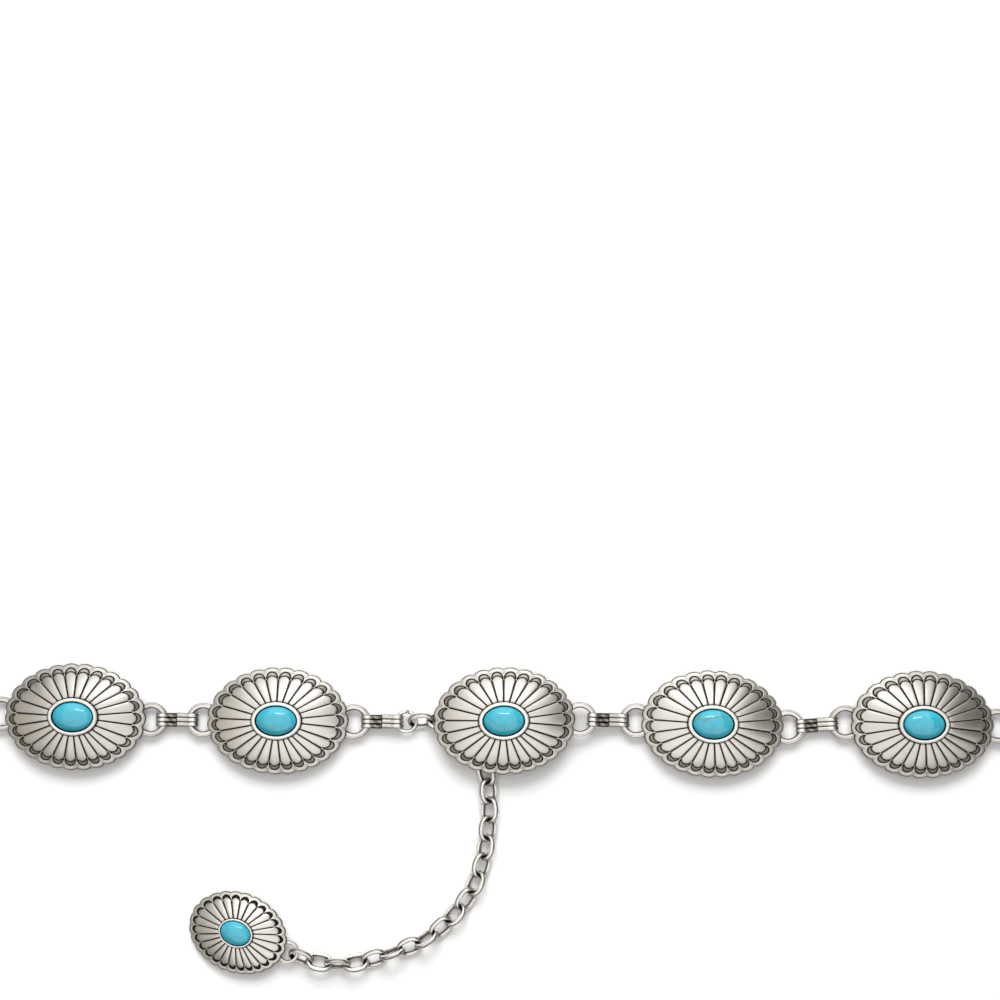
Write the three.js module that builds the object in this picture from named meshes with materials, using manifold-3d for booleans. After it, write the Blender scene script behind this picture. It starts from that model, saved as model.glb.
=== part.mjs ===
// Chain belt of domed oval conchos, each set with a turquoise cabochon, linked by reeded straps.
// It lies fastened on a flat surface as one closed loop, with the end of its extender chain free.
// Millimetres, +Z up. The origin is at the middle of the belt's footprint, on the surface.
import * as THREE from "three";
import { mergeVertices } from "three/addons/utils/BufferGeometryUtils.js";
import Module from "manifold-3d";

const wasm = await Module();
wasm.setup();

const rad = THREE.MathUtils.degToRad;

// Large concho: a cast oval dome with a scalloped rim, hollow beneath, and a bezel round its stone.
const largeConcho = {
  length: 60.5,
  width: 45.5,
  rimThickness: 1.6,
  domeRise: 5.5,
  bezelShare: 0.364,
  openingShare: 0.304,
  bezelHeight: 2,
  seatDrop: 0.3,
  wall: 2,
  stoneRise: 3.6,
};

// Small concho at the free end of the chain, with a thinner bezel.
const smallConcho = {
  length: 43.3,
  width: 33.6,
  rimThickness: 1.4,
  domeRise: 4,
  bezelShare: 0.345,
  openingShare: 0.318,
  bezelHeight: 1.6,
  seatDrop: 0.3,
  wall: 1.6,
  stoneRise: 3,
};

// What both conchos share.
const petals = 26;
const bezelSides = 16; // also of the hollow's mouth
const hollowSides = 10; // of the hollow's top
const stoneSides = 12;
const girdle = 1.1; // height of a stone's straight edge
const outlineDivisions = 720; // for even spacing along a curve
const scallopShare = 0.965; // of the outline, where two scallops meet
const edgeShare = 0.955; // underside of the bevelled edge
const hollowShare = 0.9; // the hollow's mouth
const petalShare = 0.72; // where the petals stand proudest
const petalCrown = 0.3;
const grooveDepth = 0.35;
const bezelTaper = 0.014; // share of the outline
const fit = 0.3; // clearance round a stone, a wire or a strap
const weld = 0.3; // how far soldered metal runs into its neighbour

// Ring soldered under each end of a concho.
const ringRadius = 6.15; // to the middle of the wire
const ringWire = 1.35; // radius
const ringOffset = 32.2; // from the concho's middle to the ring's middle
const smallRingRadius = 4.05;
const smallRingWire = 0.85;
const smallRingOffset = 22.8;
const wireSides = 5;
const ringSides = 12;

// Reeded strap folded round two rings.
const strapWidth = 5.7;
const strapThickness = 0.8;
const strapInner = ringWire + fit; // half the height of its slot
const strapOuter = strapInner + strapThickness;
const strapSeat = 4.9; // from a ring's middle to the middle of the strap's bend
const strapSpan = 14.7; // between the middles of its two bends
const strapReach = strapSpan + 2 * strapSeat; // between two rings' middles when taut
const wireLead = 0.4; // from the middle of a bend to the wire that it holds

// Clasp: a jump ring, the chain, and a stud beneath the third concho that holds one link.
const jumpRadius = 4.2;
const jumpWire = 0.75;
const jumpSeat = 3; // from the jump ring's middle to the middle of the strap's bend
const studRadius = 0.8;
const studHead = 1.25;
const studHeadHeight = 1.5; // of the head's middle above the surface
const studSides = 8;
const studLink = 3; // the link it holds, counted from the clasp
const conchoLift = 2.1; // the third concho lies on the chain that passes beneath it

// Cable chain of oval links that lean left and right in turn.
const linkLength = 10.8;
const linkWidth = 8;
const linkWire = 0.85; // radius
const linkPitch = 7.8;
const linkLean = 30;
const endLinkLean = 45;
const linkSides = 10;
const linkRoom = 0.9; // clearance of an end link along its ring's hole

// Heights above the surface.
const ringHeight = strapOuter;
const rimHeight = ringHeight + ringWire - weld;
const jumpHeight = leaningHeight(endLinkLean);

// Front run, left to right: x and y of each concho's middle, and its turn in degrees.
const frontRun = [
  { x: -181.5, y: 1.7, turn: -2.2, lift: 0 },
  { x: -94.8, y: 0, turn: -0.6, lift: 0 },
  { x: 1.8, y: 0, turn: 1.2, lift: conchoLift },
  { x: 90.2, y: -1.3, turn: -2.4, lift: 0 },
  { x: 179, y: -1.5, turn: -1.2, lift: 0 },
];
const liftedConcho = 3;

// Each end of the loop turns back through two conchos: headings of strap and concho in degrees.
const endTurn = [
  { strap: -31, concho: -61 },
  { strap: -91, concho: -121 },
];
const lastStrap = -151;
const backRun = 5; // conchos in the run behind

// Small concho's place: it leans on its own ring.
const smallPlace = { x: -111.4, y: -89.7, turn: -21 };

// The chain's way, seen from above, between its first and last links.
const chainWay = [
  { x: -22, y: -0.6 },
  { x: -14.5, y: -6.5 },
  { x: -8.5, y: -15 },
  { x: -5.4, y: -24 },
  { x: -4.6, y: -38 },
  { x: -6.2, y: -54 },
  { x: -11, y: -70 },
  { x: -20.4, y: -83 },
  { x: -32.3, y: -92.8 },
  { x: -47.2, y: -98.4 },
  { x: -61.6, y: -102.4 },
  { x: -76.5, y: -102.2 },
];

// Silver is cast and darkened in its hollows; the stones are polished.
const silver = { color: 0xc9c5bd, metalness: 1, roughness: 0.32 };
const turquoise = { color: 0x5fbcd0, metalness: 0, roughness: 0.2 };

// Height of a leaning link's middle when its lower side lies on the surface.
function leaningHeight(lean) {
  return (linkWidth / 2 - linkWire) * Math.sin(rad(Math.abs(lean))) + linkWire;
}

// A geometry as a solid that can be joined.
function solidOf(geometry) {
  const bare = geometry.clone();
  bare.deleteAttribute("normal");
  bare.deleteAttribute("uv");
  const merged = mergeVertices(bare, 1e-4);
  return new wasm.Manifold(
    new wasm.Mesh({
      numProp: 3,
      vertProperties: merged.attributes.position.array,
      triVerts: new Uint32Array(merged.index.array),
    }),
  );
}

// One geometry for pieces that are soldered together.
function joined(geometries) {
  const whole = geometries.map(solidOf).reduce((all, next) => all.add(next));
  const mesh = whole.getMesh();
  return new THREE.BufferGeometry()
    .setAttribute("position", new THREE.BufferAttribute(mesh.vertProperties, 3))
    .setIndex(new THREE.BufferAttribute(mesh.triVerts, 1));
}

// A closed skin over a stack of rings of points, with a fan over the first and the last.
function loft(rings) {
  const positions = [];
  const faces = [];
  const add = (p) => {
    positions.push(p.x, p.y, p.z);
    return positions.length / 3 - 1;
  };
  const loops = rings.map((ring) => ring.map(add));
  const stitch = (low, high) => {
    let i = 0;
    let j = 0;
    while (i < low.length || j < high.length) {
      const from = low[i % low.length];
      const to = high[j % high.length];
      if (j === high.length || (i < low.length && (i + 1) / low.length <= (j + 1) / high.length)) {
        i += 1;
        faces.push(from, low[i % low.length], to);
      } else {
        j += 1;
        faces.push(from, high[j % high.length], to);
      }
    }
  };
  const fan = (loop, height, facing) => {
    const middle = add({ x: 0, y: 0, z: height });
    loop.forEach((corner, i) => {
      const next = loop[(i + 1) % loop.length];
      faces.push(middle, ...(facing > 0 ? [corner, next] : [next, corner]));
    });
  };
  loops.slice(1).forEach((loop, k) => stitch(loops[k], loop));
  fan(loops[0], rings[0][0].z, -1);
  fan(loops.at(-1), rings.at(-1)[0].z, 1);
  return new THREE.BufferGeometry()
    .setAttribute("position", new THREE.Float32BufferAttribute(positions, 3))
    .setIndex(faces);
}

// Concho without its rings, its rim's underside at height 0.
function conchoShell(size) {
  const outline = new THREE.EllipseCurve(0, 0, size.length / 2, size.width / 2, 0, 2 * Math.PI);
  outline.arcLengthDivisions = outlineDivisions;
  const domeHeight = (share) =>
    size.rimThickness + (size.domeRise * (1 - share ** 2)) / (1 - size.bezelShare ** 2);
  const bezelTop = domeHeight(size.bezelShare) + size.bezelHeight;
  const seat = domeHeight(size.bezelShare) - size.seatDrop;
  const ring = (count, shareAt, heightAt) =>
    Array.from({ length: count }, (_, i) => {
      const p = outline.getPointAt(i / count).multiplyScalar(shareAt(i));
      return new THREE.Vector3(p.x, p.y, heightAt(i));
    });
  const plain = (count, share, height) => ring(count, () => share, () => height);
  const onPetal = (i) => i % 2 === 0;
  return loft([
    plain(hollowSides, size.bezelShare, seat - size.wall),
    plain(bezelSides, hollowShare, 0),
    plain(petals, edgeShare, 0),
    ring(2 * petals, (i) => (onPetal(i) ? 1 : scallopShare), () => size.rimThickness),
    ring(
      2 * petals,
      () => petalShare,
      (i) => domeHeight(petalShare) + (onPetal(i) ? petalCrown : -grooveDepth),
    ),
    plain(bezelSides, size.bezelShare, domeHeight(size.bezelShare)),
    plain(bezelSides, size.bezelShare - bezelTaper, bezelTop),
    plain(bezelSides, size.openingShare, bezelTop),
    plain(bezelSides, size.openingShare, seat),
  ]);
}

// Height of a concho's stone seat above its rim's underside.
function seatHeight(size) {
  return size.rimThickness + size.domeRise - size.seatDrop;
}

// Flat wire ring, its middle at x and its wire run into the rim's underside.
function solderedRing(radius, wire, x) {
  return new THREE.TorusGeometry(radius, wire, wireSides, ringSides)
    .rotateZ(x < 0 ? Math.PI : 0)
    .translate(x, 0, weld - wire);
}

// Oval cabochon with a low straight girdle, its underside at height 0.
function cabochon(size) {
  const flats = size.openingShare * Math.cos(Math.PI / bezelSides);
  const radius = (size.length / 2) * flats - fit;
  const rise = size.stoneRise - girdle;
  const shoulder = rad(50);
  const profile = [
    new THREE.Vector2(0, 0),
    new THREE.Vector2(radius, 0),
    new THREE.Vector2(radius, girdle),
    new THREE.Vector2(radius * Math.cos(shoulder), girdle + rise * Math.sin(shoulder)),
    new THREE.Vector2(0, girdle + rise),
  ];
  const across = (size.width / 2) * flats - fit;
  return new THREE.LatheGeometry(profile, stoneSides).rotateX(Math.PI / 2).scale(1, across / radius, 1);
}

// Strap folded into a flat loop round Y, its middle at the origin and its length along X.
function strapLoop() {
  const loop = (radius, path) =>
    path
      .moveTo(-strapSpan / 2, -radius)
      .lineTo(strapSpan / 2, -radius)
      .absarc(strapSpan / 2, 0, radius, -Math.PI / 2, Math.PI / 2, false)
      .lineTo(-strapSpan / 2, radius)
      .absarc(-strapSpan / 2, 0, radius, Math.PI / 2, 1.5 * Math.PI, false);
  const outline = loop(strapOuter, new THREE.Shape());
  outline.holes.push(loop(strapInner, new THREE.Path()));
  return new THREE.ExtrudeGeometry(outline, {
    depth: strapWidth,
    bevelEnabled: false,
    curveSegments: 2,
  })
    .translate(0, 0, -strapWidth / 2)
    .rotateX(Math.PI / 2);
}

// One oval link: a wire ring whose two halves are moved apart along X.
function chainLink() {
  const bend = linkWidth / 2 - linkWire;
  const apart = linkLength / 2 - linkWire - bend;
  const link = new THREE.TorusGeometry(bend, linkWire, wireSides, linkSides);
  const place = link.attributes.position;
  for (let i = 0; i < place.count; i += 1) {
    place.setX(i, place.getX(i) + Math.sign(place.getX(i)) * apart);
  }
  return link;
}

// Matrix of a piece whose X axis runs along a direction, turned about that axis by its lean.
function along(middle, direction, lean = 0) {
  const pitch = Math.asin(direction.z / direction.length());
  const turn = new THREE.Euler(rad(lean), -pitch, Math.atan2(direction.y, direction.x), "ZYX");
  return new THREE.Matrix4().compose(
    middle,
    new THREE.Quaternion().setFromEuler(turn),
    new THREE.Vector3(1, 1, 1),
  );
}

function heading(degrees) {
  return new THREE.Vector3(Math.cos(rad(degrees)), Math.sin(rad(degrees)), 0);
}

// A concho's place in the run, with the middles of the rings at its left and right ends.
function station({ x, y, turn, lift }) {
  const middle = new THREE.Vector3(x, y, 0);
  const height = new THREE.Vector3(0, 0, ringHeight + lift);
  const ringAt = (side) => middle.clone().addScaledVector(heading(turn), side * ringOffset).add(height);
  return { middle, turn, lift, left: ringAt(-1), right: ringAt(1) };
}

// Walks outward from an end of the front run. A mirrored walk starts from its left end.
function turnBack(ring, mirrored) {
  const way = (degrees) => (mirrored ? heading(180 - degrees) : heading(degrees));
  const stations = [];
  const here = ring.clone();
  endTurn.forEach((row) => {
    here.addScaledVector(way(row.strap), strapReach);
    const middle = here.clone().addScaledVector(way(row.concho), ringOffset);
    const turn = mirrored ? -row.concho : row.concho;
    stations.push(station({ x: middle.x, y: middle.y, turn, lift: 0 }));
    here.addScaledVector(way(row.concho), 2 * ringOffset);
  });
  return { stations, end: here.addScaledVector(way(lastStrap), strapReach) };
}

// The run behind fills the way between the two ends with equal steps.
function runBehind(from, to) {
  const way = to.clone().sub(from);
  const turn = THREE.MathUtils.radToDeg(Math.atan2(way.y, way.x));
  const step = (way.length() - 2 * ringOffset) / (backRun - 1);
  return Array.from({ length: backRun }, (_, i) => {
    const middle = from.clone().addScaledVector(heading(turn), ringOffset + i * step);
    return station({ x: middle.x, y: middle.y, turn, lift: 0 });
  });
}

// The whole loop of conchos, from the left of the front run round to it again.
const front = frontRun.map(station);
const rightTurn = turnBack(front.at(-1).right, false);
const leftTurn = turnBack(front[0].left, true);
const stations = [
  ...front,
  ...rightTurn.stations,
  ...runBehind(rightTurn.end, leftTurn.end),
  ...leftTurn.stations.reverse(),
];

// Clasp: the strap after the second concho holds the jump ring.
const claspConcho = liftedConcho - 1;
const jumpMiddle = front[claspConcho - 1].right.clone().setZ(jumpHeight);
jumpMiddle.x += strapSeat + strapSpan + jumpSeat;

// The small concho leans back from its ring, whose outer end lies at the height of the last link.
const farEdge = (smallConcho.length / 2) * edgeShare;
const smallEnd = smallRingOffset + smallRingRadius;
const smallTip = Math.asin((jumpHeight + smallRingWire - weld) / (smallEnd + farEdge));
const smallMiddle = new THREE.Vector3(smallPlace.x, smallPlace.y, farEdge * Math.sin(smallTip));
const smallRing = smallMiddle.clone().addScaledVector(heading(smallPlace.turn), smallRingOffset);

// Where each link of the chain meets the next, from the jump ring to the small concho's ring.
function chainJoints() {
  const halfOverlap = linkLength / 2 - linkWire - linkPitch / 2;
  const inside = (radius, wire) => radius - wire - linkWire - linkRoom + halfOverlap;
  const way = chainWay.map((p) => new THREE.Vector3(p.x, p.y, 0));
  const first = jumpMiddle.clone().setZ(0);
  first.x += inside(jumpRadius, jumpWire);
  const outward = way.at(-1).clone().sub(smallRing).setZ(0).normalize();
  const last = smallRing.clone().setZ(0);
  last.addScaledVector(outward, inside(smallRingRadius, smallRingWire));
  const curve = new THREE.CatmullRomCurve3([first, ...way, last]);
  curve.arcLengthDivisions = outlineDivisions;
  return curve.getSpacedPoints(Math.round(curve.getLength() / linkPitch));
}

// Each link's matrix. The links at both ends lean more, to pass over and under their rings.
function chainPlaces() {
  const joints = chainJoints();
  const count = joints.length - 1;
  const lean = (i) => (i % 2 ? -1 : 1) * (i === 0 || i === count - 1 ? endLinkLean : linkLean);
  const height = (i) => leaningHeight(lean(THREE.MathUtils.clamp(i, 0, count - 1)));
  joints.forEach((joint, i) => joint.setZ(Math.max(height(i - 1), height(i))));
  return Array.from({ length: count }, (_, i) => {
    const middle = joints[i].clone().add(joints[i + 1]).multiplyScalar(0.5);
    return along(middle, joints[i + 1].clone().sub(joints[i]), lean(i));
  });
}
const links = chainPlaces();

// Plain headed stud under the lifted concho, standing through the opening of one link.
function chainStud() {
  const at = new THREE.Vector3().setFromMatrixPosition(links[studLink - 1]);
  const under = front[liftedConcho - 1];
  const spot = at.sub(under.middle).applyAxisAngle(new THREE.Vector3(0, 0, 1), -rad(under.turn));
  const floor = -rimHeight - under.lift;
  const low = floor + studHeadHeight;
  const top = seatHeight(largeConcho) - largeConcho.wall + weld;
  const post = new THREE.CylinderGeometry(studRadius, studRadius, top - low, studSides)
    .rotateX(Math.PI / 2)
    .translate(spot.x, spot.y, (top + low) / 2);
  const head = new THREE.SphereGeometry(studHead, studSides, studSides / 2);
  return [post, head.translate(spot.x, spot.y, low)];
}

const belt = new THREE.Group();

function addPiece(parent, name, geometry, finish) {
  const mesh = new THREE.Mesh(geometry, new THREE.MeshStandardMaterial(finish));
  mesh.name = name;
  parent.add(mesh);
  return mesh;
}

function pairNumber(i) {
  return String(i + 1).padStart(2, "0");
}

// Conchos and their stones. The lifted one has no left ring: the chain is held beneath it.
stations.forEach((place, i) => {
  const group = new THREE.Group();
  group.position.copy(place.middle).setZ(rimHeight + place.lift);
  group.rotation.z = rad(place.turn);
  const held = i === liftedConcho - 1;
  const metal = [
    conchoShell(largeConcho),
    solderedRing(ringRadius, ringWire, ringOffset),
    ...(held ? chainStud() : [solderedRing(ringRadius, ringWire, -ringOffset)]),
  ];
  addPiece(group, `concho_${pairNumber(i)}`, joined(metal), silver);
  const stone = addPiece(group, `cabochon_${pairNumber(i)}`, cabochon(largeConcho), turquoise);
  stone.position.z = seatHeight(largeConcho) + fit;
  belt.add(group);
});

// A strap between each pair of neighbours. The one at the clasp holds the jump ring instead.
stations.forEach((place, i) => {
  const clasp = i === claspConcho - 1;
  const target = clasp ? jumpMiddle : stations[(i + 1) % stations.length].left;
  const level = target.clone().sub(place.right).setZ(0).normalize();
  const start = place.right.clone().addScaledVector(level, strapSeat + wireLead);
  const end = target.clone().addScaledVector(level, -(clasp ? jumpSeat : strapSeat) - wireLead);
  const strap = addPiece(belt, `strap_${pairNumber(i)}`, strapLoop(), silver);
  strap.applyMatrix4(along(start.clone().lerp(end, 0.5), end.clone().sub(start)));
});

const jumpRing = new THREE.TorusGeometry(jumpRadius, jumpWire, wireSides, ringSides)
  .rotateZ(Math.PI / ringSides);
addPiece(belt, "jump_ring", jumpRing, silver).position.copy(jumpMiddle);

const chain = joined(links.map((place) => chainLink().applyMatrix4(place)));
addPiece(belt, "extender_chain", chain, silver);

const smallGroup = new THREE.Group();
smallGroup.position.copy(smallMiddle);
smallGroup.rotation.set(0, -smallTip, rad(smallPlace.turn), "ZYX");
const smallMetal = [
  conchoShell(smallConcho),
  solderedRing(smallRingRadius, smallRingWire, smallRingOffset),
];
addPiece(smallGroup, "end_concho", joined(smallMetal), silver);
const smallStone = addPiece(smallGroup, "end_cabochon", cabochon(smallConcho), turquoise);
smallStone.position.z = seatHeight(smallConcho) + fit;
belt.add(smallGroup);

// The origin goes to the middle of the footprint, on the surface.
const reach = new THREE.Box3().setFromObject(belt, true);
const middle = reach.getCenter(new THREE.Vector3());
belt.position.set(-middle.x, -middle.y, -reach.min.z);

export default belt;
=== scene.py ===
# Looks of the chain belt: cast conchos in antiqued silver, turquoise cabochons, reeded straps
# and an oval-link chain, lying on a pale floor. Metres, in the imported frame.
import math

import bpy
import numpy as np
from mathutils import Matrix, Vector


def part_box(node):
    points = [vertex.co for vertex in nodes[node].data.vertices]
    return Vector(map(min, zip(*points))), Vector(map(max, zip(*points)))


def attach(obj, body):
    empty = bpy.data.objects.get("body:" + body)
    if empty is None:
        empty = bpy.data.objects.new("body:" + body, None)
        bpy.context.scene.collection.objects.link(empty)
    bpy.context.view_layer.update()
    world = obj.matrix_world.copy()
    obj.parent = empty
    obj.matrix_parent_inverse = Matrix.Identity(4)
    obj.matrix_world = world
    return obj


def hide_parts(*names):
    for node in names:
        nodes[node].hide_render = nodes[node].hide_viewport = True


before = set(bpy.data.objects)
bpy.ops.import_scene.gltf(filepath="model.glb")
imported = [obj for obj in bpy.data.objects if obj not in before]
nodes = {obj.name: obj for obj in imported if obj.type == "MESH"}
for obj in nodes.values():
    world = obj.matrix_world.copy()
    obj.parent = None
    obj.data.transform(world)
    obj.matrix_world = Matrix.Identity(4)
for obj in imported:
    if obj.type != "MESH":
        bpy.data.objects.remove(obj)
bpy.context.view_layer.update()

# Sizes in millimetres. The outline of each concho, the seat of its stone and the places of its rings
# are as in the solids. Shares are of the outline. Patina and painted shade go from 0 on clean metal to 1
# where it is black.
MM = 0.001
PETALS = 26
PETAL_CROWN = 0.16
GROOVE_DEPTH = 0.38
CRESCENT_DEPTHS = (0.18, 0.48)  # along its inner and its outer arc
SOFT_EDGE = 0.24  # width of a crescent's side
DOME_SHARE = 0.364  # where the dome ends beneath the bezel
STONE_GAP = 0.3  # under and round a stone
GIRDLE = 1.0  # height of a stone's straight edge

LARGE = dict(
    length=60.5,
    width=45.5,
    rim=1.25,  # height of the dome's outer end
    rise=5.85,
    level=1.7,  # width of the level border
    edge=1.3,  # height of the outer edge
    wall=2.0,
    foot=0.352,  # share at the bezel's foot
    bezel_wall=(1.85, 1.6),  # at the bezel's ends and at its sides
    bezel_high=1.95,
    seat=7.1,
    stone_rise=3.6,
    lip=1.78,  # from the outline to the crescents
    arc_out=2.38,  # radius of a crescent's outer arc
    arc_in=2.43,  # radius of its inner arc
    arc_thick=1.95,
    crescent_dark=0.12,
    groove=0.28,  # half the width
    scallop=0.95,
)
SMALL = dict(
    length=43.3,
    width=33.6,
    rim=1.1,
    rise=4.3,
    level=1.4,
    edge=1.1,
    wall=1.6,
    foot=0.348,
    bezel_wall=(0.78, 0.75),
    bezel_high=1.4,
    seat=5.4,
    stone_rise=3.0,
    lip=1.5,
    arc_out=1.68,
    arc_in=1.76,
    arc_thick=1.15,
    crescent_dark=0.75,
    groove=0.25,
    scallop=0.6,
)

# How far the petals lag behind even spacing, in petals, by the share of a turn clockwise from the top.
PETAL_LAG = (
    (0.0, -0.04), (0.06, -0.13), (0.14, -0.11), (0.2, 0.02), (0.26, 0.05), (0.31, -0.05), (0.36, 0.01),
    (0.42, 0.2), (0.48, 0.33), (0.63, 0.35), (0.79, 0.37), (0.87, 0.1), (1.0, -0.04),
)
# Samples from a groove to a petal's middle, and where the first few lie, in widths of the groove.
HALF_PETAL = 8
BY_GROOVE = np.array([0.0, 0.5, 1.0, 1.6])
MEAN_RADIUS = 26  # of a large concho, for the spacing of the samples
# Rows of the lip and the crescents, inward from the outline: the first few, and the even ones after them.
FIRST_INSETS = (0.12, 0.28, 0.5)
EVEN_INSETS_FROM = 0.8
INSET_STEP = 0.225
# Where those rows end and the grooves start, inward from the lip, in outer radii of a crescent.
ROWS_END = 1.62
GROOVES_START = 1.36

# Underside of a concho: the share of the outline and of the hollow's depth.
HOLLOW = ((0.3, 1.0), (0.55, 0.9), (0.72, 0.62), (0.86, 0.22))
HOLLOW_PATINA = 0.55
# Its outer edge: how far in it lies, the share of the edge's height and the painted shade that darkens this
# side.
OUTER_EDGE = ((0.55, 0.06, 0.45), (0.1, 0.25, 0.45), (0.0, 0.6, 0.5), (0.03, 1.0, 0.65))
# Its bezel: shares of the wall and of the height, and the patina.
COLLAR = (
    (0.03, 0.02, 0.75), (0.04, 0.4, 0.15), (0.08, 0.7, 0.0), (0.17, 0.86, 0.0), (0.32, 0.95, 0.0),
    (0.55, 0.98, 0.0), (0.76, 0.96, 0.0), (0.88, 0.9, 0.05), (0.95, 0.72, 1.0), (1.0, 0.35, 1.0),
)

# Rings by the radius to the wire's middle, and by how far out and how high they lie on their concho.
RING = dict(radius=6.1, half_wide=1.16, half_high=1.27, middle=32.2, height=-1.05)
SMALL_RING = dict(radius=4.13, half_wide=0.77, half_high=0.8, middle=22.8, height=-0.55)
# Shares of the half width and height round a ring's section, and its patina and painted shade: the dark
# sides and underside are painted shade. A fine line is cut in its top.
RING_SECTION = (
    (1.0, 0.2, 0.8), (0.95, 0.68, 0.8), (0.85, 0.9, 0.2), (0.68, 0.99, 0.0), (0.56, 0.98, 0.06),
    (0.46, 0.86, 0.6), (0.34, 0.98, 0.1), (0.1, 1.0, 0.09), (-0.3, 1.0, 0.07), (-0.54, 0.98, 0.1),
    (-0.7, 0.92, 0.45), (-0.82, 0.78, 1.0), (-1.0, 0.2, 1.0), (-1.0, -0.4, 0.9), (-0.85, -0.8, 0.6),
    (-0.3, -1.0, 0.5), (0.3, -1.0, 0.5), (0.8, -0.85, 0.5), (1.0, -0.3, 0.45),
)

JUMP_RING = dict(radius=4.2, half_wide=0.72, half_high=0.7)
JUMP_SPLIT = math.radians(81)  # where its ends meet
SPLIT_GAP = 0.05  # half the gap between them, as an angle

CONCHOS = 14
LIFTED = 3  # the concho that lies on the chain
SHADED_ENDS = (1, 5)  # the two end conchos of the front run, whose copy of the silver is darker as painted shade
STUD = (-17.5, 77.3, 1.5)  # middle of its head
STUD_TOP = 4.6  # above the lifted concho's rim, inside its hollow

# Middle of each link in millimetres, the way it runs and how far it leans over, in degrees.
LINKS = (
    (-32.5, 80.1, 3.47, 3, 45), (-24.6, 80, 2.98, -5, -30), (-17.5, 77.3, 2.55, -37, 0),
    (-11.9, 71.9, 2.58, -51, 26), (-7.6, 65.4, 2.58, -63, -26), (-4.8, 58, 2.58, -76, 26),
    (-3.6, 50.3, 2.68, -86, -28), (-3.4, 42.4, 2.73, -91, 29), (-3.9, 34.5, 2.58, -95, -26),
    (-5, 26.7, 2.73, -101, 29), (-6.7, 19, 2.73, -105, -29), (-9.4, 11.5, 2.73, -114, 29),
    (-13.3, 4.7, 2.83, -125, -31), (-18.2, -1.5, 2.78, -132, 30), (-23.8, -7, 2.83, -139, -31),
    (-30.1, -11.7, 3.87, -148, 56), (-37.2, -15.2, 2.68, -160, -28), (-44.6, -17.7, 4.23, -162, 70),
    (-52.2, -20.1, 2.98, -163, -34), (-59.9, -21.9, 2.83, -171, 31), (-67.7, -22.4, 4.04, 179, -62),
    (-75.5, -21.6, 2.88, 169, 24), (-83.1, -19.6, 3.58, 160, -48),
)
LINK_SLOPE = 4.7  # of the links next to the raised ones at both ends, in degrees

# Linear colours.
TEAL = (0.015, 0.18, 0.155)
BROWN = (0.13, 0.2, 0.09)
NEARLY_BLACK = (0.012, 0.05, 0.06)
TURQUOISE = (0.022, 0.362, 0.49)
LIGHT_TURQUOISE = (0.052, 0.447, 0.575)
PAPER = (0.96, 0.96, 0.96, 1)
ROOM = (1.0, 0.94, 0.84, 1)
ROOM_LEVEL = 0.14

# Boxes that the metal mirrors: middle, the point that each faces, size, radiance and colour, in metres.
# One is small and bright, above and beyond the front run. The others are wide and dim.
MIRRORED_BOXES = (
    ("key_box", (-0.005, 0.62, 0.83), (-0.005, 0.08, 0.0), (0.4, 0.06), 9.5, (1, 1, 1)),
    ("overhead_panel", (-0.1, -0.1, 1.32), (-0.1, -0.1, 0.0), (1.83, 3.0), 0.95, (1, 0.985, 0.96)),
    ("warm_side", (-1.62, -0.1, 1.32), (-1.62, -0.1, 0.0), (1.2, 2.4), 0.43, (1, 0.92, 0.78)),
    ("lower_right", (1.22, -0.98, 1.32), (1.22, -0.98, 0.0), (0.85, 1.3), 0.6, (1, 0.985, 0.96)),
    ("north_window", (-0.1, 1.75, 0.85), (-0.1, 0.08, 0.0), (1.9, 1.5), 0.69, (1, 0.995, 0.985)),
)
# Boxes that light the floor and the stones but aren't mirrored, also in metres.
OVERHEAD = dict(middle=(-0.1, -0.1, 1.4), aim=(-0.1, -0.1, 0.0), size=(1.8, 3.0))
OVERHEAD_RADIANCE = 1.05
FILL = dict(middle=(0.0, 1.65, 1.2), aim=(0.0, 0.05, 0.0), size=(1.7, 1.2))
FILL_WATTS = 47.0
FLOOR_HALF = 4.0  # metres

# The camera stands above the middle of the front run, a little to one side, and looks beyond the run.
FRONT_MIDDLE = (1.242, 80.266, 0.055)
EYE_FROM_FRONT = (25.0, 15.0, 1100.0)
AIM_FROM_FRONT = (-0.14, 94.55, 0.0)
SENSOR_WIDTH = 36.0
LENS = 92.35
NEAREST = 0.02  # metres


# Meshes. A part is its points in millimetres, its faces and the patina and painted shade of each point.
def smooth(x):
    """0 up to 0, 1 from 1, with a soft way between."""
    x = np.clip(x, 0.0, 1.0)
    return x * x * (3.0 - 2.0 * x)


def line(distance, half_width, middle=0.0):
    """1 along a line with soft edges and 0 away from it."""
    return np.exp(-(((distance - middle) / half_width) ** 4))


def skin(rows, patina_and_shade, along=False, low=None, high=None):
    """A part from a grid of rows, closed around and maybe along, with optional end caps."""
    count, wide, _ = rows.shape
    points = [rows.reshape(-1, 3)]
    shade = [np.broadcast_to(patina_and_shade, (count, wide)).reshape(-1)]
    i = np.arange(count if along else count - 1)[:, None]
    j = np.arange(wide)[None, :]
    up = (i + 1) % count
    on = (j + 1) % wide
    quads = np.stack([i * wide + j, i * wide + on, up * wide + on, up * wide + j], -1)
    faces = [tuple(q) for q in quads.reshape(-1, 4).tolist()]
    for cap, row, turned in ((low, 0, True), (high, count - 1, False)):
        if cap is None:
            continue
        points.append(np.array([cap[:3]], float))
        shade.append(np.array([cap[3]], float))
        middle = sum(len(p) for p in points) - 1
        for k in range(wide):
            a, b = row * wide + k, row * wide + (k + 1) % wide
            faces.append((middle, b, a) if turned else (middle, a, b))
    return np.concatenate(points), faces, np.concatenate(shade)


def merged(parts):
    all_points, all_faces, all_shades = [], [], []
    start = 0
    for points, faces, shade in parts:
        all_points.append(points)
        all_shades.append(shade)
        all_faces += [tuple(corner + start for corner in face) for face in faces]
        start += len(points)
    return np.concatenate(all_points), all_faces, np.concatenate(all_shades)


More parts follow.
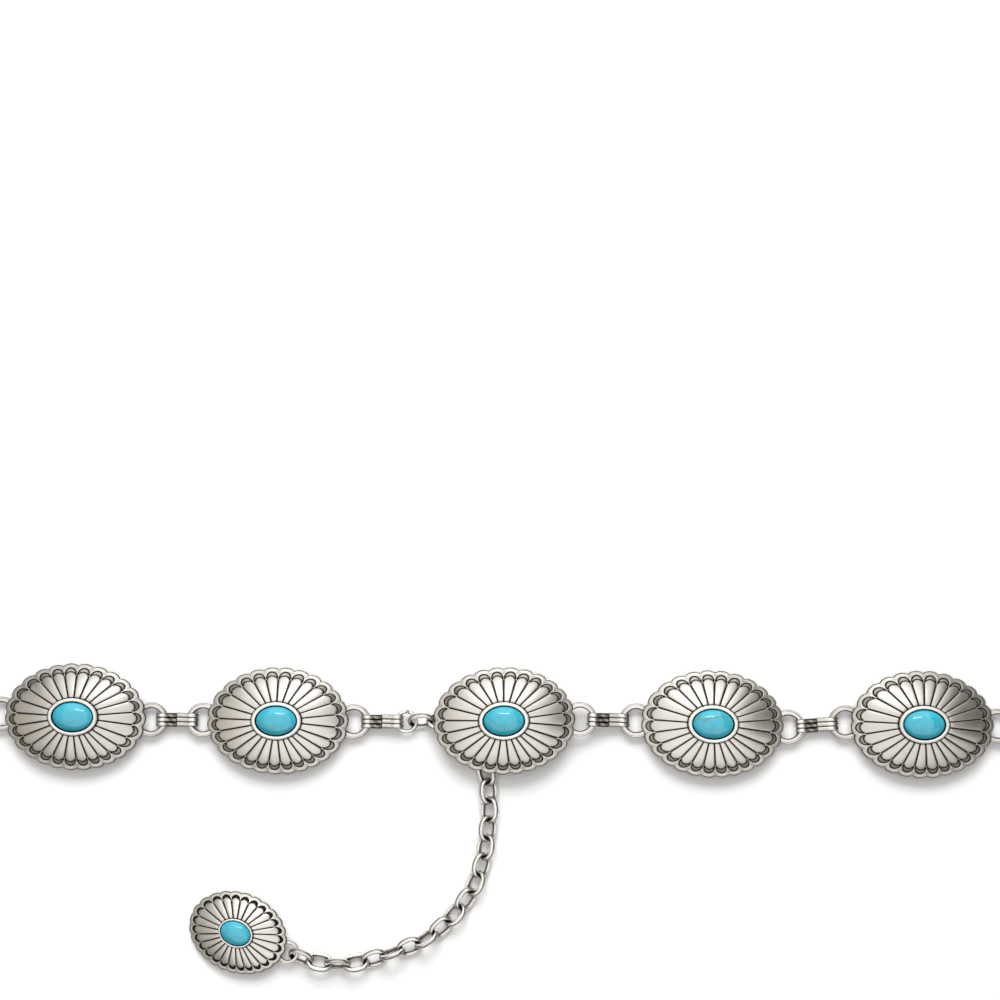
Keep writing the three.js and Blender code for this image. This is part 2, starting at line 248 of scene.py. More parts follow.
def shifted(part, x, y=0.0, z=0.0):
    points, faces, shade = part
    return points + np.array([x, y, z]), faces, shade


def make_mesh(name, part):
    points, faces, shade = part
    mesh = bpy.data.meshes.new(name)
    mesh.from_pydata((points * MM).tolist(), [], faces)
    attribute = mesh.attributes.new("patina_and_shade", "FLOAT", "POINT")
    attribute.data.foreach_set("value", shade.astype(np.float32))
    mesh.polygons.foreach_set("use_smooth", np.ones(len(faces), bool))
    mesh.update()
    return mesh


def place(name, mesh, matrix, slot, material, *replaced):
    """A piece of one mesh, turned in its own vertices, so that its box stays tight."""
    mesh = mesh.copy()
    mesh.name = name
    mesh.transform(matrix.to_3x3().to_4x4())
    mesh.materials.append(material)
    piece = bpy.data.objects.new(name, mesh)
    bpy.context.scene.collection.objects.link(piece)
    piece.location = matrix.translation
    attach(piece, "root")
    if replaced:
        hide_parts(*replaced)
    return piece


def torus(size, turns, split=None, section=RING_SECTION):
    """Ring of flattened wire round Z, with an optional split."""
    if split is None:
        sweep = np.arange(turns) / turns * 2 * np.pi
    else:
        sweep = split + np.linspace(SPLIT_GAP, 2 * np.pi - SPLIT_GAP, turns)
    wide, high, shade = np.array(section).T
    radius = size["radius"] + wide[None, :] * size["half_wide"]
    high = np.broadcast_to(high * size["half_high"], (turns, len(wide)))
    x = radius * np.cos(sweep)[:, None]
    y = radius * np.sin(sweep)[:, None]
    rows = np.stack([x, y, high], -1)[:, ::-1]
    patina_and_shade = np.broadcast_to(shade[::-1], (turns, len(wide))).copy()
    if split is None:
        return skin(rows, patina_and_shade, along=True)
    cut_patina = 0.9
    ends = [np.append(rows[k].mean(0), cut_patina) for k in (0, -1)]
    patina_and_shade[[0, -1]] = cut_patina
    return skin(rows, patina_and_shade, low=ends[0], high=ends[1])


def soldered_ring(size, side, turns):
    return shifted(torus(size, turns), side * size["middle"], 0, size["height"])


def wire_section(sides=15):
    """Round wire's section with painted shade: dark on the ring's inside and dull on its outside and
    underneath.
    """
    section = []
    for k in range(sides):
        angle = math.radians(360 / sides * k)
        wide, high = math.cos(angle), math.sin(angle)
        if wide < -0.6:
            shade = 0.9
        elif wide > 0.8 or high < 0:
            shade = 0.45
        else:
            shade = 0.02
        section.append((wide, high, shade))
    return section


class Oval:
    """A concho's outline, and rows of points on it that take in every petal and groove.

    The petals are as uneven as the hand-cut master's.
    """

    def __init__(self, size):
        self.size = size
        self.long = size["length"] / 2
        self.short = size["width"] / 2
        self.turn = np.linspace(0, 2 * np.pi, 14401)
        step = np.hypot(
            np.diff(self.long * np.cos(self.turn)), np.diff(self.short * np.sin(self.turn))
        )
        self.run = np.concatenate([[0], np.cumsum(step)])
        self.pitch = self.run[-1] / PETALS
        sample = np.arange(PETALS * 2 * HALF_PETAL)
        self.petal = sample // (2 * HALF_PETAL)
        self.number = sample % (2 * HALF_PETAL)

    def across(self, share):
        """Each sample's place across its petal: 0 and 1 on the grooves, 1/2 on the petal's middle.

        The samples lie closer together by a groove, which has a fixed width.
        """
        by_groove = BY_GROOVE * (1.15 * self.size["groove"] / (self.pitch * share))
        to_middle = np.linspace(by_groove[-1], 0.5, HALF_PETAL - 2)[1:]
        knots = np.concatenate([by_groove, to_middle])
        u = knots[np.minimum(self.number, 2 * HALF_PETAL - self.number)]
        return np.where(self.number > HALF_PETAL, 1 - u, u)

    def row(self, share_at, u):
        """Points of a row, their shares, and the outline's distance from the middle at each."""
        count = self.petal + 0.5 + u
        clockwise = (0.25 - count / PETALS) % 1.0
        lag = np.interp(clockwise, *zip(*PETAL_LAG))
        theta = np.interp(((count + lag) / PETALS % 1.0) * self.run[-1], self.run, self.turn)
        radius = 1 / np.sqrt((np.cos(theta) / self.long) ** 2 + (np.sin(theta) / self.short) ** 2)
        share = share_at(radius)
        x = self.long * share * np.cos(theta)
        y = self.short * share * np.sin(theta)
        return np.stack([x, y], -1), share, radius

    def from_groove(self, u, share):
        return np.abs(np.where(u > 0.5, 1 - u, u)) * self.pitch * share


class ConchoShell(Oval):
    """Concho: scalloped lip, crescents, grooved petals and a rounded bezel, hollow beneath."""

    def __init__(self, size):
        super().__init__(size)
        self.rows = []
        self.patina_and_shade = []
        self.deep = size["seat"] - STONE_GAP - size["wall"]
        self.underside()
        self.outer_edge()
        self.petals(self.lip_and_crescents())
        self.bezel()

    def part(self):
        return skin(
            np.array(self.rows),
            np.array(self.patina_and_shade),
            low=(0, 0, self.deep, HOLLOW_PATINA),
            high=(0, 0, self.size["seat"] - STONE_GAP, 1.0),
        )

    def add(self, points, height, shade):
        self.rows.append(np.column_stack([points, np.broadcast_to(height, len(points))]))
        self.patina_and_shade.append(np.broadcast_to(shade, len(points)).astype(float))

    def dome(self, share):
        return self.size["rim"] + self.size["rise"] * (1 - share**2) / (1 - DOME_SHARE**2)

    def scallops(self, u):
        return self.size["scallop"] * np.abs(2 * np.abs(u - 0.5)) ** 2.4

    def crown(self, u):
        return PETAL_CROWN * (0.5 - (2 * np.abs(u - 0.5)) ** 2)

    def underside(self):
        for share, depth in HOLLOW:
            points, _, _ = self.row(lambda _radius, share=share: share, self.across(0.5))
            self.add(points, self.deep * depth, HOLLOW_PATINA)
        mouth = 0.92
        points, _, _ = self.row(lambda _radius: mouth, self.across(0.9))
        self.add(points, 0.0, 0.35)

    def outer_edge(self):
        u = self.across(0.98)
        for inset, height, shade in OUTER_EDGE:
            points, _, _ = self.row(lambda radius: 1 - (inset + self.scallops(u)) / radius, u)
            self.add(points, height * self.size["edge"], shade)

    def crescent(self, side, inward):
        """How far each point is in a crescent, how deep that is there, and its dark outline."""
        size = self.size
        outer_middle = size["lip"] + size["arc_out"]
        inner_middle = size["lip"] + size["arc_thick"] + size["arc_in"]
        in_outer = size["arc_out"] - np.hypot(side, inward - outer_middle)
        past_inner = np.hypot(side, inward - inner_middle) - size["arc_in"]
        inside = smooth(np.minimum(in_outer, past_inner) / SOFT_EDGE + 0.5)
        shallow, deepest = CRESCENT_DEPTHS
        deep = shallow + (deepest - shallow) * past_inner / np.maximum(past_inner + in_outer, 0.01)
        outline = np.maximum(
            line(in_outer, 0.3, 0.2) * (past_inner > -0.1),
            line(past_inner, 0.24, 0.14) * (in_outer > -0.1),
        )
        return inside, deep, outline

    def lip_and_crescents(self):
        """Top of the lip and the crescents, row by row inward. Gives the last row's distance in."""
        size = self.size
        lip, level = size["lip"], size["level"]
        reach = lip + size["arc_out"] * ROWS_END
        insets = np.concatenate([FIRST_INSETS, np.arange(EVEN_INSETS_FROM, reach, INSET_STEP)])
        groove_start = lip + size["arc_out"] * GROOVES_START
        for inset in insets:
            u = self.across(1 - inset / MEAN_RADIUS)
            fade = 1 - smooth((inset - 0.75 * lip) / (1.3 * lip))
            points, share, radius = self.row(lambda r: 1 - (inset + self.scallops(u) * fade) / r, u)
            inward = (1 - share) * radius
            border = self.dome(1 - level / radius) - 0.3 * (level - inward)
            petal = self.dome(share) + self.crown(u) * smooth((inward - lip) / 2.5)
            rounding = 0.45 * (1 - np.clip(inset / 0.4, 0, 1)) ** 2
            side = np.abs(u - 0.5) * self.pitch * share
            inside, deep, outline = self.crescent(side, inward)
            cut = line(self.from_groove(u, share), size["groove"]) * smooth((inward - groove_start) / 0.35)
            height = np.where(inward < level, border, petal) - rounding
            height = height - inside * deep - GROOVE_DEPTH * cut

            # A faint line runs along the lip, and the outermost edge is darker, with shade painted where it
            # rounds over.
            shade = 0.1 + 0.07 * (inset < lip) + 0.07 * np.exp(-(((inset - 0.45 * lip) / 0.16) ** 2))
            shade += 0.55 * (inset < 0.2) + 0.36 * (0.2 < inset < 0.4)
            for darker in (inside * size["crescent_dark"], outline, cut):
                shade = np.maximum(shade, darker)
            self.add(points, height, shade)
        return insets[-1]

    def petals(self, start):
        """From the crescents in to the bezel's foot, by the share of that way."""
        size = self.size
        foot_share = size["foot"] + 0.004
        for way in np.concatenate([np.linspace(0, 1, 13)[1:-1], [0.965, 1.0]]):
            u = self.across((1 - way) * 0.8 + way * size["foot"])
            points, share, _ = self.row(lambda r: (1 - way) * (1 - start / r) + way * foot_share, u)
            cut = line(self.from_groove(u, share), size["groove"] * (1 - 0.15 * way))
            foot = smooth((way - 0.95) / 0.05)
            height = self.dome(share) + self.crown(u) * (1 - 0.75 * way) - GROOVE_DEPTH * cut
            height = height - 0.25 * foot
            shade = np.maximum(np.maximum(0.08 + 0.04 * way, cut), 0.95 * foot)
            self.add(points, height, shade)

    def bezel(self):
        """A rounded collar, then the seat under the stone."""
        foot = self.size["foot"]
        base = self.dome(foot)
        u = self.across(foot)
        for through, up, shade in COLLAR:
            points, _, _ = self.row(lambda r: foot - through * self.bezel_wall(r) / r, u)
            self.add(points, base + up * self.size["bezel_high"], shade)
        self.add(points, self.size["seat"] - STONE_GAP, 1.0)

    def bezel_wall(self, radius):
        return np.interp(radius, (self.short, self.long), self.size["bezel_wall"][::-1])


def stone_part(size, sides=96, rings=30):
    """Cabochon: straight girdle under a low dome that steepens towards its edge."""
    long_half = size["foot"] * size["length"] / 2 - size["bezel_wall"][0] - STONE_GAP
    short_half = size["foot"] * size["width"] / 2 - size["bezel_wall"][1] - STONE_GAP
    turn = np.arange(sides) / sides * 2 * np.pi
    rise = size["stone_rise"]

    def ring(scale, height):
        x = long_half * scale * np.cos(turn)
        y = short_half * scale * np.sin(turn)
        return np.column_stack([x, y, np.full(sides, height)])

    rows = [ring(0.97, 0.0), ring(1.0, 0.15), ring(1.0, GIRDLE)]
    for scale in np.sin(np.linspace(0.5 * np.pi, 0, rings))[1:-1]:
        rows.append(ring(scale, GIRDLE + (rise - GIRDLE) * (1 - scale**2.25) ** 0.62))
    return skin(np.array(rows), np.zeros((len(rows), sides)), low=(0, 0, 0, 0), high=(0, 0, rise, 0))


def strap_way(reach):
    """The strip's way from seam to seam: x, how far up and how far out it faces."""
    flat = np.concatenate([[0.05, 0.22], np.linspace(0.7, reach, 11)])
    bend = np.linspace(0, np.pi, 15)[1:-1]
    way = [(x, 1.0, 0.0) for x in flat]
    way += [(reach, math.cos(t), math.sin(t)) for t in bend]
    way += [(x, -1.0, 0.0) for x in np.linspace(reach, -reach, 13)]
    way += [(-reach, -math.cos(t), -math.sin(t)) for t in bend]
    way += [(-x, 1.0, 0.0) for x in flat[::-1]]
    return way


def strap_part(reach=6.15, inner=1.45, flare=0.85, thick=0.85, half_wide=2.85):
    """Three-reed strip folded flat round both rings, its ends meeting in the middle of the top.

    Both ends of the strip dip towards the seam, the left one more, and they don't quite line up.
    """
    y = np.linspace(-half_wide, half_wide, 25)
    back = np.linspace(half_wide, -half_wide, 5)
    reed = half_wide * 2 / 3
    within = (y + half_wide) / reed % 1.0
    within[-1] = 1.0
    bulge = np.sqrt(np.clip(1 - (2 * within - 1) ** 2, 0, 1))
    top = thick * (0.45 + 0.55 * bulge)
    top[[0, -1]] = 0.2 * thick
    radius = inner + top
    flat_back = np.ones(len(back))
    rows, patina_and_shade = [], []
    way = strap_way(reach)
    for number, (x, up, out) in enumerate(way):
        near_seam = smooth((reach - abs(x)) / 2.4) if up == 1.0 else 0.0
        left = x < 0
        dip = near_seam * ((0.55 + 0.1 * (1 + x / reach)) if left else 0.4)
        aside = near_seam * (-0.16 if left else 0.16) * (1 - abs(x) / reach)
        outer = np.column_stack([x + out * (radius + flare), y + aside, up * radius - dip])
        under_x = flat_back * (x + out * (inner + flare))
        under_z = flat_back * (up * inner - dip)
        under = np.column_stack([under_x, back + aside, under_z])
        rows.append(np.concatenate([outer, under]))
        # Painted shade: on the left a dark reflection that deepens towards the seam; on the right it is
        # lighter, darker towards the seam and on the outer faces of the bend.
        if left:
            painted_shade = 0.42 * near_seam * (1 + 0.35 * np.sin(1.9 * x + 1.6 * y))
        else:
            painted_shade = 0.15 * near_seam + 0.2 * smooth((abs(out) - 0.45) / 0.3)
        # Patina in the grooves between the reeds, widened near the seam as painted shade, more on the left;
        # the strip's underside has painted shade.
        cleft = 0.95 * smooth((0.62 + (0.34 if left else 0.08) * near_seam - bulge) / 0.4)
        shade = np.concatenate([0.06 + painted_shade + cleft, 0.5 * flat_back])
        from_end = min(number, len(way) - 1 - number)
        if from_end == 0:
            shade = np.ones(len(shade))
        elif from_end == 1:
            shade = np.maximum(shade, 0.3)
        patina_and_shade.append(np.clip(shade, 0, 1))
    rows = np.array(rows)[:, ::-1]
    patina_and_shade = np.array(patina_and_shade)[:, ::-1]
    ends = [np.append(rows[n].mean(0), 1.0) for n in (0, -1)]
    return skin(rows, patina_and_shade, low=ends[0], high=ends[1])


def link_part(length=11.6, width=8.8, wire=1.1, turns=36, sides=12):
    """Oval link of round wire lying round Z, darker on its inside, most at its bends where links touch, as
    patina and painted shade, and with painted shade along its outside.
    """
    long_half, short_half = length / 2 - wire, width / 2 - wire
    sweep = np.arange(turns) / turns * 2 * np.pi
    angle = np.arange(sides) / sides * 2 * np.pi
    oval = np.stack([np.cos(sweep), np.sin(sweep)], -1)
    middle = np.sign(oval) * np.abs(oval) ** 0.88 * (long_half, short_half)
    along = np.roll(middle, -1, 0) - np.roll(middle, 1, 0)
    out = np.stack([along[:, 1], -along[:, 0]], -1) / np.linalg.norm(along, axis=1, keepdims=True)
    side = np.cos(angle) * wire
    rows = middle[:, None, :] + out[:, None, :] * side[None, :, None]
    high = np.broadcast_to(np.sin(angle) * wire, (turns, sides))
    ends = np.abs(np.cos(sweep))[:, None] ** 2
    facing = np.cos(angle)[None, :]
    # Painted shade: the inside darkens, most at the bends where the links touch, and a dark rim runs along
    # the outside.
    inside = smooth((-facing - 0.5 + 0.75 * ends) / 0.4) * (0.6 + 0.4 * ends)
    shade = 0.02 + 0.94 * inside + 0.42 * smooth((facing - 0.76) / 0.2)
    grid = np.concatenate([rows, high[..., None]], -1)
    return skin(grid[:, ::-1], shade[:, ::-1], along=True)


def stud_part(x, y, low, top, post=0.8, head=1.25, sides=24):
    """Headed stud along Z: a ball for a head and a plain post above it."""
    turn = np.arange(sides) / sides * 2 * np.pi
    tilt = np.linspace(-0.5 * np.pi, math.acos(post / head), 12)[1:]
    profile = [(head * math.cos(t), low + head * math.sin(t)) for t in tilt]
    profile += [(post, low + head + 0.3), (post, top)]
    shade = 0.4
    rows = np.array([
        np.column_stack([x + radius * np.cos(turn), y + radius * np.sin(turn), np.full(sides, z)])
        for radius, z in profile
    ])
    return skin(rows, shade, low=(x, y, low - head, shade), high=(x, y, top, shade))


# Materials.
class Nodes:
    """Short hand for building a material's nodes."""

    def __init__(self, name):
        self.material = bpy.data.materials.new(name)
        self.material.use_nodes = True
        self.tree = self.material.node_tree
        self.shader = self.tree.nodes["Principled BSDF"]
        self.place = self.add("ShaderNodeTexCoord").outputs["Object"]

    def add(self, kind, **values):
        node = self.tree.nodes.new(kind)
        for key, value in values.items():
            if hasattr(node, key):
                setattr(node, key, value)
            else:
                node.inputs[key].default_value = value
        return node

    def link(self, source, target):
        self.tree.links.new(source, target)

    def noise(self, scale, detail=3.0, rough=0.5):
        node = self.add("ShaderNodeTexNoise", Scale=scale, Detail=detail, Roughness=rough)
        self.link(self.place, node.inputs["Vector"])
        return node.outputs["Fac"]

    def math(self, operation, first, second=0.0, third=0.0, clamp=False):
        node = self.add("ShaderNodeMath", operation=operation)
        node.use_clamp = clamp
        for socket, value in zip(node.inputs, (first, second, third)):
            if isinstance(value, (int, float)):
                socket.default_value = value
            else:
                self.link(value, socket)
        return node.outputs[0]

    def ramp(self, value, *stops):
        """Colour ramp. A stop is a position and a colour, or one number for a grey."""
        node = self.add("ShaderNodeValToRGB")
        self.link(value, node.inputs["Fac"])
        elements = node.color_ramp.elements
        while len(elements) < len(stops):
            elements.new(0.5)
        for element, (position, colour) in zip(elements, stops):
            element.position = position
            element.color = (*colour, 1.0) if isinstance(colour, tuple) else (colour, colour, colour, 1.0)
        return node.outputs["Color"]

    def mix(self, amount, first, second, **settings):
        node = self.add("ShaderNodeMix", data_type="RGBA", **settings)
        inputs = {s.name: s for s in node.inputs if s.type == "RGBA"}
        factor = node.inputs["Factor"]
        for socket, value in ((factor, amount), (inputs["A"], first), (inputs["B"], second)):
            if isinstance(value, tuple):
                socket.default_value = (*value, 1.0)
            elif isinstance(value, float):
                socket.default_value = value
            else:
                self.link(value, socket)
        return [s for s in node.outputs if s.type == "RGBA"][0]

    def bump(self, height, strength, distance, under=None):
        node = self.add("ShaderNodeBump", Strength=strength, Distance=distance)
        self.link(height, node.inputs["Height"])
        if under is not None:
            self.link(under, node.inputs["Normal"])
        return node.outputs["Normal"]


def silver_material(name, bright, warm, rough, grain, metal=0.55):
    """Cast silver plate: fine grain, faint colour drift, black where it is oxidised in the hollows, and
    darker where shade is painted on edges, sides and undersides.
    """
    n = Nodes(name)
    patina_and_shade = n.add("ShaderNodeAttribute", attribute_name="patina_and_shade").outputs["Fac"]
    worn = n.math("MULTIPLY_ADD", n.noise(1800.0, 3.0, 0.6), 0.5, -0.25)
    dark = n.math("ADD", patina_and_shade, n.math("MULTIPLY", worn, patina_and_shade), clamp=True)
    clean = n.mix(n.noise(160.0, 2.0), bright, warm)
    # Patina and painted shade both darken the colour through this ramp.
    oxide_and_shade = n.ramp(dark, (0.0, 1.0), (0.1, 0.9), (0.45, (0.3, 0.29, 0.275)), (0.85, (0.02, 0.018, 0.016)))
    colour = n.mix(1.0, clean, oxide_and_shade, blend_type="MULTIPLY", clamp_result=True)
    gloss = n.math("MULTIPLY_ADD", n.noise(420.0, 4.0), 0.18, rough - 0.06)
    coarse = n.bump(n.noise(700.0, 3.0), 0.07, 0.00012)
    n.link(colour, n.shader.inputs["Base Color"])
    n.link(n.math("MULTIPLY_ADD", dark, 8.0, metal, clamp=True), n.shader.inputs["Metallic"])
    n.link(n.math("MULTIPLY_ADD", dark, 0.35, gloss, clamp=True), n.shader.inputs["Roughness"])
    n.link(n.bump(n.noise(5200.0, 2.0), grain, 0.00004, coarse), n.shader.inputs["Normal"])
    return n.material


def vein(x, y, angle, long, wide=0.24, dark=0.85, colour=TEAL):
    """A vein by its middle, the way it runs, and its length and half width in millimetres."""
    return dict(x=x, y=y, angle=angle, long=long, wide=wide, dark=dark, colour=colour)


def vein_amount(n, x, y, sway, vein):
    """How much of a vein shows: a wandering line that fades at both ends and breaks up."""
    cosine, sine = math.cos(math.radians(vein["angle"])), math.sin(math.radians(vein["angle"]))
    dx = n.math("SUBTRACT", x, vein["x"] * MM)
    dy = n.math("SUBTRACT", y, vein["y"] * MM)
    on = n.math("ADD", n.math("MULTIPLY", dx, cosine), n.math("MULTIPLY", dy, sine))
    off = n.math("SUBTRACT", n.math("MULTIPLY", dy, cosine), n.math("MULTIPLY", dx, sine))
    off = n.math("ABSOLUTE", n.math("ADD", off, sway))
    near = n.math("SUBTRACT", 1.0, n.math("DIVIDE", off, vein["wide"] * MM), clamp=True)
    to_end = n.math("SUBTRACT", vein["long"] / 2 * MM, n.math("ABSOLUTE", on))
    fade = n.math("DIVIDE", to_end, 0.8 * MM, clamp=True)
    patch = n.ramp(n.noise(900.0, 2.0), (0.35, 0.35), (0.6, 1.0))
    return n.math("MULTIPLY", n.math("MULTIPLY", near, fade), n.math("MULTIPLY", patch, vein["dark"]))


def stone_material(name, veins):
    """Polished turquoise with soft mottling and fine veins."""
    n = Nodes(name)
    cloud = n.ramp(n.noise(170.0, 3.0, 0.55), (0.3, 0.0), (0.72, 1.0))
    colour = n.mix(cloud, TURQUOISE, LIGHT_TURQUOISE)
    parts = n.add("ShaderNodeSeparateXYZ")
    n.link(n.place, parts.inputs[0])
    sway = n.math("MULTIPLY_ADD", n.noise(330.0), 2.2 * MM, -1.1 * MM)
    for one in veins:
        amount = vein_amount(n, parts.outputs[0], parts.outputs[1], sway, one)
        colour = n.mix(amount, colour, one["colour"])
    n.link(colour, n.shader.inputs["Base Color"])
    n.link(n.math("MULTIPLY_ADD", n.noise(380.0, 3.0), 0.08, 0.03), n.shader.inputs["Roughness"])
    n.shader.inputs["Specular IOR Level"].default_value = 1.0
    n.link(n.bump(n.noise(260.0, 2.0), 0.025, 0.0001), n.shader.inputs["Normal"])
    return n.material


def paper_material():
    paper = Nodes("floor_paper")
    paper.shader.inputs["Base Color"].default_value = PAPER
    paper.shader.inputs["Roughness"].default_value = 0.9
    paper.shader.inputs["Specular IOR Level"].default_value = 0.1
    return paper.material


cast_silver = silver_material("cast_silver", (0.93, 0.915, 0.885), (0.86, 0.84, 0.795), 0.26, 0.12)
# A darker copy of the cast silver: painted shade on the two end conchos of the front run.
painted_shade_silver = silver_material("painted_shade_silver", (0.82, 0.805, 0.78), (0.76, 0.74, 0.7), 0.26, 0.12)
wire_silver = silver_material("wire_silver", (0.95, 0.94, 0.915), (0.86, 0.84, 0.8), 0.15, 0.1, 0.42)

PLAIN_VEINS = [vein(-3.0, 1.0, 40, 5.0, 0.2, 0.5), vein(3.5, -2.0, -30, 4.0, 0.2, 0.5)]
VEINS = {
    1: [vein(-0.4, -5.2, 10, 1.6, 0.3, 0.6, NEARLY_BLACK)],
    2: [
        vein(-4.6, -1.6, -38, 7.5), vein(-5.4, -3.0, 25, 5.0, 0.2, 0.6),
        vein(-1.6, -4.2, -12, 5.0, 0.2, 0.6),
    ],
    3: [
        vein(-3.2, -0.8, -33, 11.0, 0.26, 0.9), vein(-5.6, 0.2, 70, 4.0, 0.2, 0.6),
        vein(2.3, -4.4, -82, 3.6, 0.2, 0.6), vein(-1.2, -2.2, -8, 6.0, 0.18, 0.5),
    ],
    4: [
        vein(-5.4, 2.0, -14, 5.0, 0.7, 0.9, BROWN), vein(-1.9, 2.2, 22, 5.2, 0.9, 0.9, BROWN),
        vein(2.4, 3.2, 2, 5.0, 1.0, 0.8, BROWN), vein(6.0, 2.1, -32, 5.0, 0.5, 0.7, BROWN),
        vein(-6.0, 3.2, 18, 3.0, 0.4, 0.6, BROWN),
    ],
    5: [vein(-4.8, 0.8, 62, 5.5, 0.2, 0.5), vein(-3.6, -1.8, -20, 5.0, 0.2, 0.45)],
}
SMALL_VEINS = [
    vein(-1.6, -1.2, 118, 3.6, 0.2, 0.6), vein(-1.8, -2.4, 28, 4.6, 0.2, 0.7),
    vein(1.8, -1.6, -8, 4.4, 0.2, 0.6), vein(-0.4, 2.6, 86, 2.6, 0.18, 0.4),
]


# Where things are, from the solids.
def corners_of(node):
    """The different corners of a solid, in metres."""
    corners = np.array([v.co for v in nodes[node].data.vertices], float)
    return np.unique(corners.round(7), axis=0)


def matrix_of(origin, long_way, short_way, up):
    turn = Matrix((long_way.tolist(), short_way.tolist(), up.tolist())).transposed().to_4x4()
    return Matrix.Translation(Vector(origin)) @ turn


def concho_pose(stone_node, seat):
    """Matrix of the concho that a stone's solid sits in: the stone's own axes, from its corners."""
    corners = corners_of(stone_node)
    centre = corners.mean(0)
    flat = corners - centre
    _, _, (long_way, _, up) = np.linalg.svd(flat)
    if up[2] < 0:
        up = -up
    if long_way[0] < 0:
        long_way = -long_way
    short_way = np.cross(up, long_way)
    origin = centre + up * (min(flat @ up) - seat * MM)
    for axis in (long_way, short_way):
        origin = origin + axis * (max(flat @ axis) + min(flat @ axis)) / 2
    return matrix_of(origin, long_way, short_way, up)


def strap_pose(node):
    """Matrix of a strap: its long way, level across, from its corners."""
    corners = corners_of(node)
    _, _, axes = np.linalg.svd(corners - corners.mean(0))
    long_way = axes[0] if axes[0][0] > 0 else -axes[0]
    across = np.cross((0, 0, 1), long_way)
    across /= np.linalg.norm(across)
    middle = (corners.max(0) + corners.min(0)) / 2
    return matrix_of(middle, long_way, across, np.cross(long_way, across))


# The belt.
def add_conchos():
    """Conchos, their stones and the straps. The lifted concho has a stud in place of its left ring."""
    shell = ConchoShell(LARGE).part()
    right_ring = soldered_ring(RING, 1, turns=48)
    left_ring = soldered_ring(RING, -1, turns=48)
    concho_mesh = make_mesh("concho_with_rings", merged([shell, right_ring, left_ring]))
    stone_mesh = make_mesh("cabochon", stone_part(LARGE))
    strap_mesh = make_mesh("reeded_strap", strap_part())
    plain_stone = stone_material("turquoise_plain", PLAIN_VEINS)
    for number in range(1, CONCHOS + 1):
        tag = f"{number:02d}"
        at = concho_pose(f"cabochon_{tag}", LARGE["seat"])
        mesh = concho_mesh
        if number == LIFTED:
            spot = at.inverted() @ (Vector(STUD) * MM) / MM
            stud = stud_part(spot.x, spot.y, spot.z, STUD_TOP)
            mesh = make_mesh("concho_over_clasp", merged([shell, right_ring, stud]))
        # The two end conchos take the darker copy of the silver, as painted shade.
        metal = painted_shade_silver if number in SHADED_ENDS else cast_silver
        look = stone_material(f"turquoise_{tag}", VEINS[number]) if number in VEINS else plain_stone
        stone_at = at @ Matrix.Translation((0, 0, LARGE["seat"] * MM))
        strap_at = strap_pose(f"strap_{tag}")
        place(f"silver_concho_{tag}", mesh, at, "silver", metal, f"concho_{tag}")
        place(f"turquoise_stone_{tag}", stone_mesh, stone_at, "turquoise", look, f"cabochon_{tag}")
        place(f"silver_strap_{tag}", strap_mesh, strap_at, "silver", wire_silver, f"strap_{tag}")


def add_jump_ring():
    low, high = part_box("jump_ring")
    mesh = make_mesh("split_jump_ring", torus(JUMP_RING, 44, JUMP_SPLIT, wire_section()))
    at = Matrix.Translation((low + high) / 2)
    place("silver_jump_ring", mesh, at, "silver", wire_silver, "jump_ring")


def add_end_concho():
    """The small concho at the chain's free end, with its ring and stone."""
    at = concho_pose("end_cabochon", SMALL["seat"])
    metal = merged([ConchoShell(SMALL).part(), soldered_ring(SMALL_RING, 1, turns=40)])
    place("silver_end_concho", make_mesh("small_concho", metal), at, "silver", cast_silver, "end_concho")
    stone = make_mesh("small_stone", stone_part(SMALL))
    stone_at = at @ Matrix.Translation((0, 0, SMALL["seat"] * MM))
    look = stone_material("turquoise_end", SMALL_VEINS)
    place("turquoise_end_stone", stone, stone_at, "turquoise", look, "end_cabochon")


def add_chain():
    """The links one by one. The first stands for the whole chain's solid."""
    mesh = make_mesh("oval_link", link_part())
    slopes = {2: LINK_SLOPE, len(LINKS) - 1: -LINK_SLOPE}
    for number, (x, y, z, turn, lean) in enumerate(LINKS, 1):
        at = (
            Matrix.Translation(Vector((x, y, z)) * MM)
            @ Matrix.Rotation(math.radians(turn), 4, "Z")
            @ Matrix.Rotation(math.radians(slopes.get(number, 0.0)), 4, "Y")
            @ Matrix.Rotation(math.radians(lean), 4, "X")
        )
        link = place(f"silver_link_{number:02d}", mesh, at, "silver", wire_silver)
        if number == 1:
            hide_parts("extender_chain")


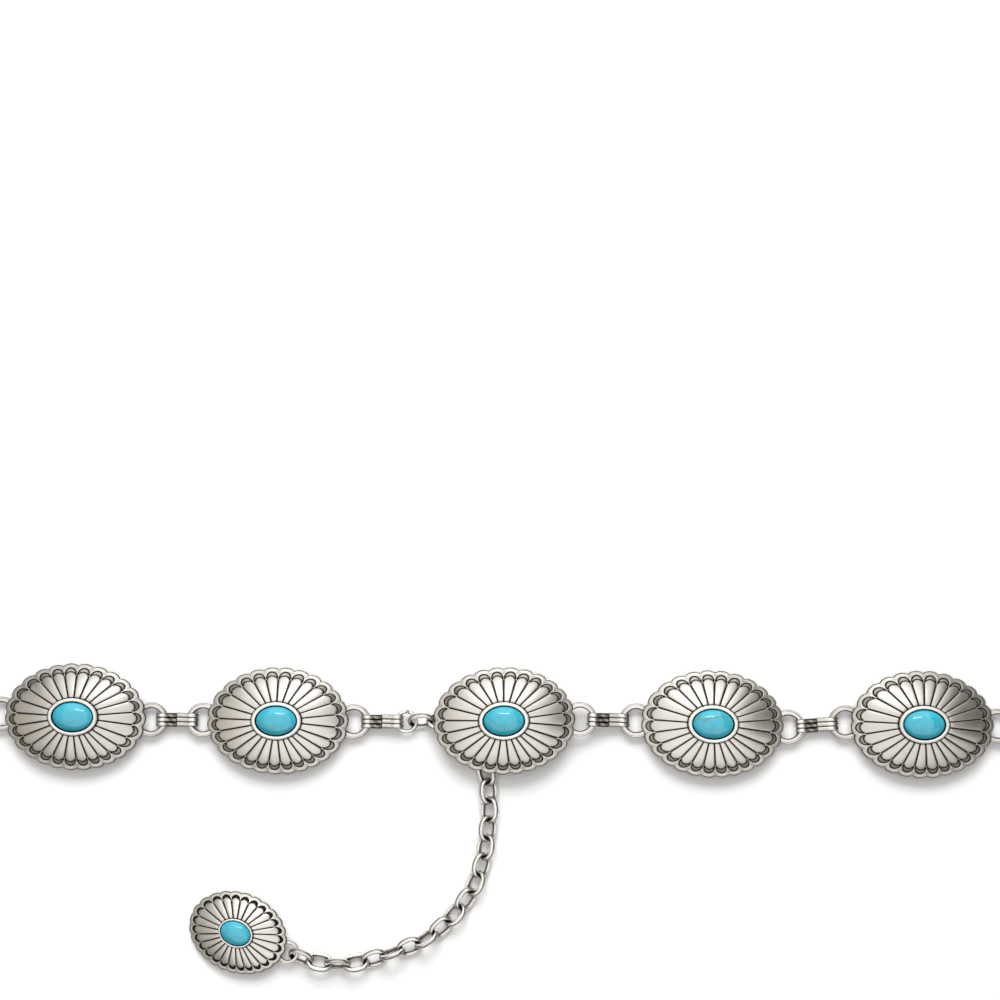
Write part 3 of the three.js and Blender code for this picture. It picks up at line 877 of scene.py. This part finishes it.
# The floor, the light and the camera.
def add_floor():
    mesh = bpy.data.meshes.new("floor")
    corners = [(x * FLOOR_HALF, y * FLOOR_HALF, 0) for x, y in ((-1, -1), (1, -1), (1, 1), (-1, 1))]
    mesh.from_pydata(corners, [], [(0, 1, 2, 3)])
    mesh.materials.append(paper_material())
    floor = bpy.data.objects.new("floor", mesh)
    bpy.context.scene.collection.objects.link(floor)


def soft_box(name, middle, aim, size, power, colour=(1, 1, 1)):
    light = bpy.data.lights.new(name, "AREA")
    light.shape = "RECTANGLE"
    light.size, light.size_y = size
    light.energy = power
    light.color = colour
    lamp = bpy.data.objects.new(name, light)
    bpy.context.scene.collection.objects.link(lamp)
    lamp.location = middle
    lamp.rotation_euler = (Vector(aim) - Vector(middle)).to_track_quat("-Z", "Y").to_euler()
    return lamp


def watts(size, radiance):
    """Power of a soft box that is this bright to look at."""
    return radiance * math.pi * size[0] * size[1]


def add_lights():
    """Boxes that light only what mirrors them, and two that light the floor and the stones."""
    for name, middle, aim, size, radiance, colour in MIRRORED_BOXES:
        box = soft_box(name, middle, aim, size, watts(size, radiance), colour)
        box.visible_diffuse = False
    overhead = soft_box("soft_overhead", **OVERHEAD, power=watts(OVERHEAD["size"], OVERHEAD_RADIANCE))
    fill = soft_box("floor_fill", **FILL, power=FILL_WATTS)
    overhead.visible_glossy = False
    fill.visible_glossy = False

    world = bpy.data.worlds.new("studio")
    bpy.context.scene.world = world
    world.use_nodes = True
    background = world.node_tree.nodes["Background"]
    background.inputs["Color"].default_value = ROOM
    background.inputs["Strength"].default_value = ROOM_LEVEL


def add_camera():
    front = Vector(FRONT_MIDDLE) * MM
    eye = front + Vector(EYE_FROM_FRONT) * MM
    target = front + Vector(AIM_FROM_FRONT) * MM
    forward = (target - eye).normalized()
    right = forward.cross(Vector((0, 1, 0))).normalized()
    up = right.cross(forward)
    data = bpy.data.cameras.new("camera")
    data.sensor_width = SENSOR_WIDTH
    data.lens = LENS
    data.clip_start = NEAREST
    camera = bpy.data.objects.new("camera", data)
    bpy.context.scene.collection.objects.link(camera)
    camera.matrix_world = Matrix.Translation(eye) @ Matrix((right, up, -forward)).transposed().to_4x4()
    bpy.context.scene.camera = camera
    bpy.context.scene.view_settings.view_transform = "Standard"


add_conchos()
add_jump_ring()
add_end_concho()
add_chain()
add_floor()
add_lights()
add_camera()
